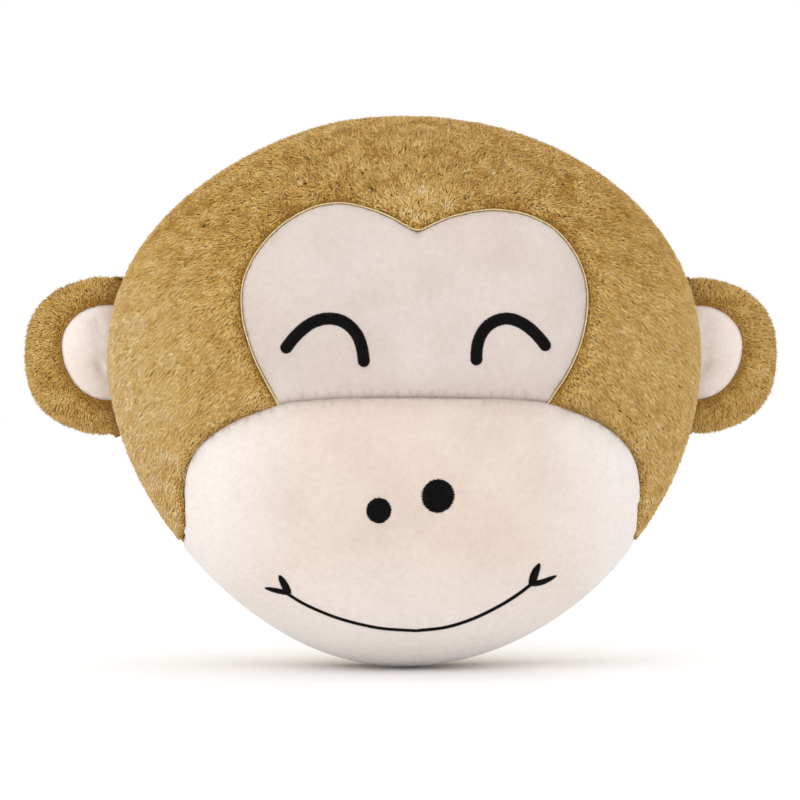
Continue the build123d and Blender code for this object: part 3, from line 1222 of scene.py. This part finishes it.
def scatter_tree():
    kinds = {
        "Tuft": "NodeSocketObject",
        "Density": "NodeSocketFloat",
        "Scatter": "NodeSocketFloat",
        "Clumping": "NodeSocketFloat",
        "Seed": "NodeSocketInt",
        "Finish": "NodeSocketMaterial",
    }
    tree = Growth("scatter_tufts", kinds)
    entry = tree.entry
    spread = {"Mesh": entry["Geometry"], "Density": entry["Density"], "Seed": entry["Seed"]}
    points = tree.node("GeometryNodeDistributePointsOnFaces", {}, spread)
    normal = Socket(tree, points.socket.node.outputs["Normal"])
    place = tree.node("GeometryNodeInputPosition")
    clump = tree.lumps(place, 8 * MM, 1.0, 1)
    clump = tree.vector("MULTIPLY", tree.vector("SUBTRACT", clump, (0.5, 0.5, 0.5)), (2.0, 2.0, 2.0))
    stray = tree.random((-1, -1, -1), (1, 1, 1), entry["Seed"] + 3, "FLOAT_VECTOR")
    comb = tree.named("comb", "FLOAT_VECTOR")
    mess = tree.named("mess", "FLOAT")
    way = tree.scaled(stray, entry["Scatter"] * (0.5 + mess))
    push = tree.scaled(clump, entry["Clumping"] * (0.4 + mess * 2))
    way = tree.vector("ADD", comb, tree.vector("ADD", way, push))
    turn = tree.turned(normal, way)
    tip = tree.node("ShaderNodeCombineXYZ", {}, {"Y": tree.random(-0.2, 0.16, entry["Seed"] + 5)})
    lean = tree.node("FunctionNodeEulerToRotation", {}, [tip])
    turn = tree.node("FunctionNodeRotateRotation", {"rotation_space": "LOCAL"}, [turn, lean])
    length = tree.named("pile", "FLOAT") * tree.random(0.72, 1.18, entry["Seed"] + 7)
    width = tree.random(0.75, 1.2, entry["Seed"] + 9)
    size = tree.node("ShaderNodeCombineXYZ", {}, [length, width, length])
    lump = tree.lumps(place, 6 * MM, 2.0, 0)
    speckle = (lump - 0.5) * (1.1 + mess * 1.6) + 0.5
    tone = tree.random(0.0, 1.0, entry["Seed"] + 11) * 0.45 + speckle * 0.5
    # The backing's tone adds the painted light and shade kept on it to the random tone.
    tone = tone + tree.named("tone", "FLOAT")
    points = tree.kept(points, "shade_value", tone, "FLOAT", "POINT")
    shape = tree.node("GeometryNodeObjectInfo", {}, {"Object": entry["Tuft"]}, "Geometry")
    laid = {"Points": points, "Instance": shape, "Rotation": turn, "Scale": size}
    blades = tree.node("GeometryNodeInstanceOnPoints", {}, laid)
    blades = tree.node("GeometryNodeRealizeInstances", {}, [blades])
    u = tree.node("ShaderNodeClamp", {}, [tree.named("shade_value", "FLOAT")]) * 0.95 + 0.025
    u = u + tree.named("across", "FLOAT") * 0.01
    v = tree.named("along", "FLOAT") * 0.96 + 0.02
    chart = tree.node("ShaderNodeCombineXYZ", {}, [u, v])
    blades = tree.kept(blades, "OFBake", chart, "FLOAT2", "CORNER")
    finished = {"Geometry": blades, "Material": entry["Finish"]}
    tree.close(tree.node("GeometryNodeSetMaterial", {}, finished))
    return tree.group


scatter = scatter_tree()


def grown(thing, group, **values):
    """The mesh that a Geometry Nodes tree makes of a piece, with these inputs."""
    growth = thing.modifiers.new("growth", "NODES")
    growth.node_group = group
    for item in group.interface.items_tree:
        if item.in_out == "INPUT" and item.name in values:
            growth[item.identifier] = values[item.name]
    mesh = evaluated_copy(thing, thing.name)
    thing.modifiers.clear()
    return mesh


# %% [markdown]
# ### The colour of a tuft
#
# A tuft is darker at its root and lighter at its tip, and tufts differ in tone, at random and by the
# painted light and shade kept on the backing. Both values are kept in a small map on each blade, so
# the colour is a chart of tone against height.


# %% Pile finish
def pile_finish():
    sheen = {"Sheen_Weight": 0.15, "Sheen_Roughness": 0.4}
    finish = Finish("tan_plush_pile", Roughness=0.8, Specular_IOR_Level=0.12, **sheen)
    chart = finish.node("ShaderNodeUVMap", {"uv_map": "OFBake"})
    parts = finish.node("ShaderNodeSeparateXYZ", {}, [chart])
    tone = parts
    height = Socket(finish, parts.socket.node.outputs[1])
    stops = [
        (0.08, shade(186, 137, 50)),
        (0.42, shade(225, 183, 98)),
        (0.68, shade(241, 207, 133)),
        (0.95, shade(252, 232, 184)),
    ]
    tip = finish.ramp(tone, stops)
    root = finish.ramp(tone, [(0.1, shade(140, 98, 32)), (0.9, shade(200, 158, 90))])
    climb = finish.ramp(height, [(0.0, (0, 0, 0)), (0.55, (0.8, 0.8, 0.8)), (1.0, (1, 1, 1))])
    return finish.surface(finish.blend(climb, root, tip))


tan_plush_pile = pile_finish()


# %% [markdown]
# ### Combing
#
# On the face the pile is combed away from the patch, out over the cheeks and down, and up over the
# forehead, where it is ruffled most. On the back it lies down. Beside the velour it is shorter, as it
# is caught in the seam. Its tone carries painted light and shade: painted sheen at the face's sides,
# painted shade on the right side and beside the velour, and a painted highlight above the notch.


# %% Comb, length and tone on each backing
FACE_CENTRE = np.array([0.0, 190 * MM])
RIM_WIDTH = 26 * MM


def off_velour(mesh, start, end):
    """From 0 at one distance from the velour to 1 at another."""
    to_velour = read(mesh.attributes["to_velour"].data, "value", kind=np.float32)
    return smooth_step(to_velour, start, end)


def keep_comb(mesh, **values):
    """Keeps the comb's direction, and the pile's length, mess and tone, at each point."""
    for name, value in values.items():
        store(mesh, name, value if np.ndim(value) else np.full(len(mesh.vertices), value))


def comb_front(mesh):
    x, y, z = points_of(mesh).T
    arm = unit(np.stack([x, z], 1) - FACE_CENTRE)
    rim = smooth_step(SEAM_Y - y, 0.0, RIM_WIDTH)
    high = smooth_step(z, 185 * MM, 235 * MM)
    ruffle = np.exp(-((x / (95 * MM)) ** 2)) * smooth_step(z, 225 * MM, 250 * MM)
    # Painted sheen: the pile's tone is lighter towards the sides of the face, below the forehead.
    painted_sheen_sides = smooth_step(np.abs(x), 90 * MM, 150 * MM) * (1 - smooth_step(z, 170 * MM, 260 * MM))
    # Painted shade: on the right, away from the key lamp, the lighter sides are toned down again.
    right = smooth_step(x, 40 * MM, 150 * MM)
    # Painted highlight: a lighter spot on the pile just above the patch's notch.
    glint = np.exp(-((x / (20 * MM)) ** 2) - ((z - 243 * MM) / (9 * MM)) ** 2)
    # Painted shade: the pile is darker within a few millimetres of the velour, in the seam's groove.
    shadowed = 1 - off_velour(mesh, 0.5 * MM, 3.5 * MM)
    down = arm[:, 1] - 0.95 * np.abs(arm[:, 0])
    keep_comb(
        mesh,
        comb=np.stack([arm[:, 0], np.full(len(x), 0.25), down], 1),
        pile=(0.45 + 0.55 * off_velour(mesh, 0.0, 9 * MM)) * (0.5 + 0.5 * rim),
        mess=0.3 + 0.45 * high + 0.5 * ruffle,
        tone=-0.1 * high + 0.24 * painted_sheen_sides - 0.16 * painted_sheen_sides * right + 0.32 * glint - 0.3 * shadowed,
    )


def comb_back(mesh):
    x, y, z = points_of(mesh).T
    rim = smooth_step(y - SEAM_Y, 0.0, RIM_WIDTH)
    off_floor = smooth_step(z, 2 * MM, 16 * MM)
    off_seam = np.maximum(smooth_step(np.abs(x), 1 * MM, 7 * MM), 1 - rim)
    down = 0.9 * (off_floor - 2.1) / 1.1 * rim - 0.2
    pile = (0.6 + 0.65 * off_seam) * (0.45 + 0.55 * rim)
    pile = pile * (0.4 + 0.6 * off_velour(mesh, 0.0, 9 * MM)) * (0.4 + 0.6 * off_floor)
    comb = np.stack([0.35 * x / HALF_WIDTH, 1.6 * (1 - rim), down], 1)
    keep_comb(mesh, comb=comb, pile=pile, mess=0.35, tone=0.0)


def comb_ear(mesh):
    x, y, z = points_of(mesh).T
    arm = np.abs(x) - 168 * MM
    comb = unit(np.stack([arm * np.sign(x), np.zeros(len(x)), z - WIDEST_Z], 1))
    comb[:, 2] -= 0.45
    near = off_velour(mesh, 0.0, 6 * MM)
    outer = smooth_step(np.abs(x), 156 * MM, 164 * MM)
    pile = (0.34 + 0.36 * near) * (0.35 + 0.65 * outer)
    # Painted shade: the ear's pile is darker in the groove beside the inner patch.
    keep_comb(mesh, comb=comb, pile=pile, mess=0.3, tone=-0.1 - 0.25 * (1 - near))


# %% Growing the pile
FRONT_DENSITY = 2.2e6
BACK_DENSITY = 1.05e6
EAR_DENSITY = 2.6e6
PILE_FILL = 0.5
FRONT_SPLIT = 196 * MM
BACK_SPLIT = 172 * MM
OFF_FLOOR = 3 * MM


def pile_piece(mesh, kind, name, node, keep, comb, density, seed, **joining):
    """The pile of one stretch of backing, as a piece of its own."""
    patch = cloth_piece(mesh, kind, name, keep)
    comb(patch)
    thing = link(name, patch)
    thing.data = grown(
        thing,
        scatter,
        Tuft=tuft,
        Density=density * 1.0,
        Scatter=0.55,
        Clumping=0.55,
        Seed=seed,
        Finish=tan_plush_pile,
    )
    declare(thing, node, "tan_plush", PILE_FILL, **joining)
    print(name, len(thing.data.polygons), "faces")


front_stretches = {
    "upper_left": lambda c: c.x < 0 and c.z > FRONT_SPLIT,
    "upper_right": lambda c: c.x >= 0 and c.z > FRONT_SPLIT,
    "lower_left": lambda c: c.x < 0 and c.z <= FRONT_SPLIT,
    "lower_right": lambda c: c.x >= 0 and c.z <= FRONT_SPLIT,
}
back_stretches = {
    "upper": lambda c: c.z > BACK_SPLIT,
    "lower": lambda c: OFF_FLOOR < c.z <= BACK_SPLIT,
}
for number, (stretch, keep) in enumerate(front_stretches.items()):
    name, node = f"{stretch}_pile", "front_fur_panel"
    pile_piece(fine_head, PLUSH, name, node, keep, comb_front, FRONT_DENSITY, 10 + number)
for side, kind in (("left", BACK_LEFT), ("right", BACK_RIGHT)):
    for number, (stretch, keep) in enumerate(back_stretches.items()):
        name, node = f"back_{side}_{stretch}_pile", f"back_{side}_panel"
        seed = 20 + number + 4 * kind
        pile_piece(fine_head, kind, name, node, keep, comb_back, BACK_DENSITY, seed)


def clear_of_head(middle):
    return abs(middle.x) > half_width(middle.z) + 0.5 * MM


ear_piles = [(EAR_PLUSH, "ear_front", EAR_DENSITY), (EAR_BACK, "ear_back", BACK_DENSITY * 1.6)]
for side, mesh in fine_ears.items():
    joining = {"body": f"{side}_ear", "bend": ear_bend[side]}
    for kind, part, density in ear_piles:
        name, node = f"{side}_{part}_pile", f"{side}_{part}"
        pile_piece(mesh, kind, name, node, clear_of_head, comb_ear, density, 40 + kind, **joining)
bpy.data.objects.remove(tuft)


# %% [markdown]
# ## Stitches
#
# The eyes, nostrils and mouth are satin stitch: threads laid side by side across a low padding, so
# that they stand proud and shine. One unit thread and one Geometry Nodes tree lay every stitch of
# the cushion. Each point says which way its thread runs, how long it is and how high it arches.


# %% The tree that lays stitches
THREAD_STATIONS = (-0.5, -0.36, -0.13, 0.13, 0.36, 0.5)
THREAD_CORNERS = 4


def tube(name, rings):
    """A closed mesh through rings of equally many points."""
    count = len(rings[0])
    last = (len(rings) - 1) * count
    faces = [tuple(range(count)), tuple(range(last, last + count))]
    for start in range(0, last, count):
        for i in range(count):
            a = start + i
            b = start + (i + 1) % count
            faces.append((a, b, b + count, a + count))
    mesh = bpy.data.meshes.new(name)
    mesh.from_pydata(np.array(rings).reshape(-1, 3).tolist(), [], faces)
    reshape(mesh, face_outwards)
    return mesh


def make_thread():
    """A thread of unit length and thickness along X, with how far each point rises when it arches."""
    turns = [2 * math.pi * corner / THREAD_CORNERS for corner in range(THREAD_CORNERS)]
    rings = []
    for x in THREAD_STATIONS:
        radius = 0.5 * (0.55 if abs(x) == 0.5 else 1.0)
        rings.append([(x, radius * math.cos(turn), radius * math.sin(turn)) for turn in turns])
    mesh = tube("thread", rings)
    store(mesh, "arch", 1 - (2 * points_of(mesh)[:, 0]) ** 2)
    smooth_shaded(mesh)
    return link("thread", mesh)


def stitch_tree():
    kinds = {
        "Thread": "NodeSocketObject",
        "Thickness": "NodeSocketFloat",
        "Finish": "NodeSocketMaterial",
    }
    tree = Growth("lay_stitches", kinds)
    entry = tree.entry
    out = tree.named("out", "FLOAT_VECTOR")
    way = tree.named("run", "FLOAT_VECTOR")
    turn = tree.turned(out, way)
    across = entry["Thickness"]
    size = tree.node("ShaderNodeCombineXYZ", {}, [tree.named("length", "FLOAT"), across, across])
    shape = tree.node("GeometryNodeObjectInfo", {}, {"Object": entry["Thread"]}, "Geometry")
    laid = {"Points": entry["Geometry"], "Instance": shape, "Rotation": turn, "Scale": size}
    threads = tree.node("GeometryNodeInstanceOnPoints", {}, laid)
    threads = tree.node("GeometryNodeRealizeInstances", {}, [threads])
    lift = tree.named("arch", "FLOAT") * tree.named("rise", "FLOAT")
    lifted = {"Geometry": threads, "Offset": tree.scaled(out, lift)}
    threads = tree.node("GeometryNodeSetPosition", {}, lifted)
    finished = {"Geometry": threads, "Material": entry["Finish"]}
    tree.close(tree.node("GeometryNodeSetMaterial", {}, finished))
    return tree.group


one_thread = make_thread()
stitching = stitch_tree()
draw = np.random.default_rng(7)


# %% Where a stitch meets the cloth
def surface_of(mesh):
    return BVHTree.FromPolygons([v.co for v in mesh.vertices], [p.vertices for p in mesh.polygons])


head_surface = surface_of(fine_head)


def on_cloth(x, z, side=-1):
    """The cloth's place and outward direction at X and Z, on the front (-1) or back (1)."""
    place, normal, _, _ = head_surface.ray_cast(Vector((x, side * 1.0, z)), Vector((0, -side, 0)))
    if place is None:
        raise ValueError(f"no cloth at {x}, {z}")
    return np.array(place), np.array(normal if normal.y * side > 0 else -normal)


def evened(values, reach=3):
    """A running mean, so that a line of stitches bridges small steps in the cloth."""
    last = len(values) - 1
    reaches = [min(reach, i, last - i) for i in range(len(values))]
    return np.array([values[i - r : i + r + 1].mean(0) for i, r in enumerate(reaches)])


def along_cloth(line, side=-1):
    """Places, outward directions and running directions of a line of X and Z on the cloth."""
    found = np.array([on_cloth(x, z, side) for x, z in line])
    places = evened(found[:, 0])
    return places, unit(evened(found[:, 1])), unit(np.gradient(places, axis=0))


def lay(name, node, places, outs, runs, lengths, rises, thickness, slot):
    """Threads at these places as one piece."""
    mesh = bpy.data.meshes.new(name)
    mesh.from_pydata(places.tolist(), [], [])
    for key, values in (("out", outs), ("run", runs), ("length", lengths), ("rise", rises)):
        store(mesh, key, values)
    thing = link(name, mesh)
    values = {"Thread": one_thread, "Thickness": thickness, "Finish": THREADS[slot]}
    thing.data = grown(thing, stitching, **values)
    declare(thing, node, slot)
    print(name, len(places), "stitches")


# %% Padding under satin stitch
PADDING_SHARES = np.linspace(-1, 1, 7)
PADDING_SINK = 0.1 * MM
PADDING_DEPTH = 0.7 * MM


def padding(name, node, places, outs, acrosses, widths, rise, slot):
    """A low closed ridge along a line, as wide as the stitches that cover it."""
    rings = []
    for place, out, aside in zip(places, outs, acrosses * widths[:, None] / 2):
        heights = rise * (1 - PADDING_SHARES**2) - PADDING_SINK
        top = [place + aside * share + out * high for share, high in zip(PADDING_SHARES, heights)]
        bottom = [place + aside * share - out * PADDING_DEPTH for share in (1, 0, -1)]
        rings.append(top + bottom)
    mesh = tube(name, rings)
    mesh.materials.append(THREADS[slot])
    declare(link(name, mesh), node, slot)


# %% Satin stitch
SATIN_SPACING = 0.46 * MM
SATIN_THREAD = 0.52 * MM
SHORTEST_STITCH = 0.3 * MM
STITCH_SPARE = 0.15 * MM


def satin_stitch(name, node, line, width, rise):
    """Threads side by side across a line. width gives the stitch length at a share of the line."""
    line = even_line(line, SATIN_SPACING)
    count = len(line)
    places, outs, runs = along_cloth(line)
    widths = width(np.linspace(0, 1, count), count * SATIN_SPACING)
    widths = np.maximum(widths, SHORTEST_STITCH)
    across = unit(np.cross(outs, runs))
    ridge = (places, outs, across, widths * 0.96, rise * 0.8)
    padding(f"{name}_padding", node, *ridge, "black_thread")
    slant = unit(across + runs * draw.normal(0, 0.035, count)[:, None])
    lengths = widths * draw.uniform(0.985, 1.015, count) + STITCH_SPARE
    rises = rise * np.minimum(widths / widths.max() + 0.25, 1) * draw.uniform(0.94, 1.06, count)
    stitches = (places, outs, slant, lengths, rises)
    lay(f"{name}_satin", node, *stitches, SATIN_THREAD, "black_thread")


def rounded(width):
    """A stroke of even width with round ends."""

    def at(share, length):
        from_end = np.minimum(share, 1 - share) * length
        inner = np.clip(1 - from_end / (width / 2), 0, 1)
        return width * np.sqrt(1 - inner**2)

    return at


def leaf(width):
    """A blunt leaf: full from its root to past the middle, then running out to a tip."""
    shares = (0.0, 0.15, 0.45, 0.75, 0.9, 1.0)
    return lambda share, length: width * np.interp(share, shares, (0.75, 0.95, 1.0, 0.82, 0.56, 0.25))


def disc(radius):
    return lambda share, length: 2 * radius * np.sqrt(np.maximum(1 - (2 * share - 1) ** 2, 0))


# %% Eyes
EYE_STROKE = 6.4 * MM
LEFT_EYE = in_mm(
    (-70.2, 170.2), (-68.4, 172.5), (-63.3, 178.9), (-55.9, 185.0), (-47.5, 187.7), (-39.0, 186.2),
    (-32.4, 180.3), (-29.4, 173.1), (-28.2, 165.1), (-27.9, 162.6),
)
RIGHT_EYE = in_mm(
    (30.6, 163.4), (30.6, 170.8), (31.8, 176.7), (34.6, 182.0), (39.3, 185.9), (45.9, 187.8),
    (52.4, 186.5), (58.3, 183.0), (63.2, 178.5), (66.4, 174.6), (69.0, 171.5),
)
satin_stitch("left_eye", "left_eye", LEFT_EYE, rounded(EYE_STROKE), 1.15 * MM)
satin_stitch("right_eye", "right_eye", RIGHT_EYE, rounded(EYE_STROKE), 1.15 * MM)

# %% Nostrils
LEFT_NOSTRIL = (-21.3 * MM, 88.5 * MM, 6.6 * MM)
RIGHT_NOSTRIL = (9.2 * MM, 96.0 * MM, 8.7 * MM)
for name, (x, z, radius) in (("left_nostril", LEFT_NOSTRIL), ("right_nostril", RIGHT_NOSTRIL)):
    satin_stitch(name, name, [(x, z - radius), (x, z), (x, z + radius)], disc(radius), 1.4 * MM)

# %% Mouth
MOUTH_LEFT = in_mm(
    (-67.4, 43.9), (-59.6, 39.0), (-50.2, 34.5), (-39.2, 30.3), (-27.0, 27.0), (-15.8, 24.9),
    (1.3, 23.7),
)
MOUTH_RIGHT = in_mm((0.7, 23.7), (16.3, 25.5), (30.5, 30.1), (43.6, 36.6), (53.4, 42.8), (61.2, 48.9))
satin_stitch("mouth_left_run", "mouth_line", MOUTH_LEFT, rounded(2.2 * MM), 0.5 * MM)
satin_stitch("mouth_right_run", "mouth_line", MOUTH_RIGHT, rounded(2.4 * MM), 0.5 * MM)
CORNER_LEAVES = {
    "left_mouth_corner": [
        (in_mm((-66.6, 44.0), (-68.6, 48.4), (-71.4, 53.6)), 4.9 * MM),
        (in_mm((-66.6, 44.2), (-71.7, 45.0), (-78.4, 46.4)), 3.9 * MM),
    ],
    "right_mouth_corner": [
        (in_mm((61.0, 48.4), (61.9, 53.8), (64.2, 59.5)), 5.2 * MM),
        (in_mm((61.0, 48.6), (67.0, 49.5), (74.0, 52.5)), 4.1 * MM),
    ],
}
for corner, leaves in CORNER_LEAVES.items():
    for number, (line, width) in enumerate(leaves):
        satin_stitch(f"{corner}_leaf_{number + 1}", corner, line, leaf(width), 0.6 * MM)

# %% [markdown]
# ## Edging and seams
#
# A fine tan cord of slanting stitches covers the cut edge of the patch. The gap that the cushion was
# turned and filled through is drawn shut down the middle of the back with a ladder of stitches.

# %% Patch edging
EDGING_STEP = 1.25 * MM
EDGING_INSET = 0.8 * MM
PATCH_CENTRE = np.array([0.0, 190 * MM])
seam = between(fine_head, (PATCH,), (PLUSH,))[:, [0, 2]]
around = seam - PATCH_CENTRE
seam = evened(seam[np.argsort(np.arctan2(around[:, 0], around[:, 1]))], 2)
seam_run = unit(np.gradient(seam, axis=0))
inward = np.stack([seam_run[:, 1], -seam_run[:, 0]], 1)
edging_line = even_line(seam + inward * EDGING_INSET, EDGING_STEP)


def tan_stitches(name, node, line, side, ways, proud, length, rise, thickness):
    """Even tan stitches along a line. ways is how far they point along it and across it."""
    places, outs, runs = along_cloth(line, side)
    slant = runs * ways[0] + np.cross(outs, runs) * ways[1]
    lengths = np.full(len(line), length)
    rises = np.full(len(line), rise)
    stitches = (places + outs * proud, outs, slant, lengths, rises)
    lay(name, node, *stitches, thickness, "tan_thread")


tan_stitches(
    "face_patch_edging_cord",
    "face_patch_edging",
    edging_line,
    side=-1,
    ways=(1, 0.28),
    proud=0.55 * MM,
    length=2.5 * MM,
    rise=0.35 * MM,
    thickness=0.7 * MM,
)

# %% Closing stitches
LADDER_STEP = 8 * MM
ladder_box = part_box("closing_stitches")
ladder_line = [(0.0, z) for z in np.arange(ladder_box[0].z, ladder_box[1].z, LADDER_STEP)]
tan_stitches(
    "closing_ladder",
    "closing_stitches",
    ladder_line,
    side=1,
    ways=(0.12, 1),
    proud=2.4 * MM,
    length=6.5 * MM,
    rise=1.0 * MM,
    thickness=0.95 * MM,
)
bpy.data.objects.remove(one_thread)

# %% [markdown]
# ## Care label
#
# A blank strip of woven satin, folded in half with both ends caught in the back seam. It hangs by
# its root and flaps.

# %% Folded label
LABEL_WIDTH = 24 * MM
LABEL_THICK = 0.28 * MM
LABEL_GAP = 0.5 * MM
label_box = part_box("care_label")
label_joint = Vector(joint_place("care_label_flap"))


def label_profile():
    """The strip's line in Y and Z: down the front leaf, round the fold and up the back leaf."""
    top = label_box[1].z + 2.0 * MM
    bottom = label_box[0].z + 1.0 * MM
    drop = np.linspace(top, bottom, 15)
    share = (top - drop) / (top - bottom)
    sway = 0.55 * MM * np.sin(share * 2.6)
    front = np.stack([label_joint.y - LABEL_GAP + sway * 0.4, drop], 1)
    back = np.stack([label_joint.y + LABEL_GAP + sway, drop], 1)
    middle = (front[-1, 0] + back[-1, 0]) / 2
    radius = (back[-1, 0] - front[-1, 0]) / 2
    turn = np.linspace(0, math.pi, 9)[1:-1]
    fold = np.stack([middle - radius * np.cos(turn), bottom - radius * np.sin(turn)], 1)
    return np.vstack([front, fold, back[::-1]])


def folded_label():
    profile = label_profile()
    columns = 13
    points = []
    for x in np.linspace(-LABEL_WIDTH / 2, LABEL_WIDTH / 2, columns):
        curl = 0.5 * MM * (2 * x / LABEL_WIDTH) ** 2
        for y, z in profile:
            hang = np.clip((label_box[1].z - z) / (36 * MM), 0, 1)
            points.append((float(x), float(y + (curl + 0.3 * MM * math.sin(x * 260)) * hang), float(z)))
    rows = len(profile)
    faces = []
    for column in range(columns - 1):
        for row in range(rows - 1):
            a = column * rows + row
            faces.append((a, a + 1, a + 1 + rows, a + rows))
    mesh = bpy.data.meshes.new("care_label_strip")
    mesh.from_pydata(points, [], faces)
    smooth_shaded(mesh)
    mesh.materials.append(label_satin)
    length = float(np.linalg.norm(np.diff(profile, axis=0), axis=1).sum())
    return link("care_label_strip", mesh), length


label, strip_length = folded_label()
with_thickness(label, LABEL_THICK)
root = label_box[1].z
root_bend = ((0, label_joint.y, root + 1.5 * MM), (0, label_joint.y, root - 1.5 * MM))
declare(label, "care_label", "label_satin", body="care_label", bend=root_bend)
print("label strip", strip_length / MM, "mm long")


# %% [markdown]
# ## Studio
#
# The cushion stands on a white floor under an even white sky. Four soft lamps shade it: the key at
# the upper left, one above, one low in front and one behind.

# %% Studio
WHITE = (1.0, 1.0, 1.0, 1.0)
FLOOR = 6.0
LOOK_AT = 0.15
CHIN = 0.06

corners = [(x * FLOOR, y * FLOOR, 0) for x, y in ((-1, -1), (1, -1), (1, 1), (-1, 1))]
floor_mesh = bpy.data.meshes.new("floor")
floor_mesh.from_pydata(corners, [], [(0, 1, 2, 3)])
floor = link("floor", floor_mesh)
floor_mesh.materials.append(Finish("floor", Roughness=0.9, Base_Color=WHITE).material)

world = bpy.data.worlds.new("studio")
bpy.context.scene.world = world
world.use_nodes = True
sky = world.node_tree.nodes["Background"]
sky.inputs["Color"].default_value = WHITE
sky.inputs["Strength"].default_value = 1.0
bpy.context.scene.view_settings.view_transform = "Standard"


def softbox(name, place, target_z, size, power):
    """A square soft lamp that faces the middle of the cushion at this height."""
    lamp = bpy.data.lights.new(name, "AREA")
    lamp.shape = "SQUARE"
    lamp.size = size
    lamp.energy = power
    thing = link(name, lamp)
    thing.location = place
    facing = Vector(place) - Vector((0, 0, target_z))
    thing.rotation_euler = facing.to_track_quat("Z", "Y").to_euler()


softbox("key", (-1.4, -1.4, 0.9), LOOK_AT, 0.9, 7)
softbox("top", (0.3, 0.2, 1.9), LOOK_AT, 1.2, 3)
softbox("low", (0.6, -2.0, 0.35), CHIN, 0.9, 3.2)
softbox("rear", (0.6, 1.9, 1.0), LOOK_AT, 0.9, 5)
print("lamps", len(bpy.data.lights))
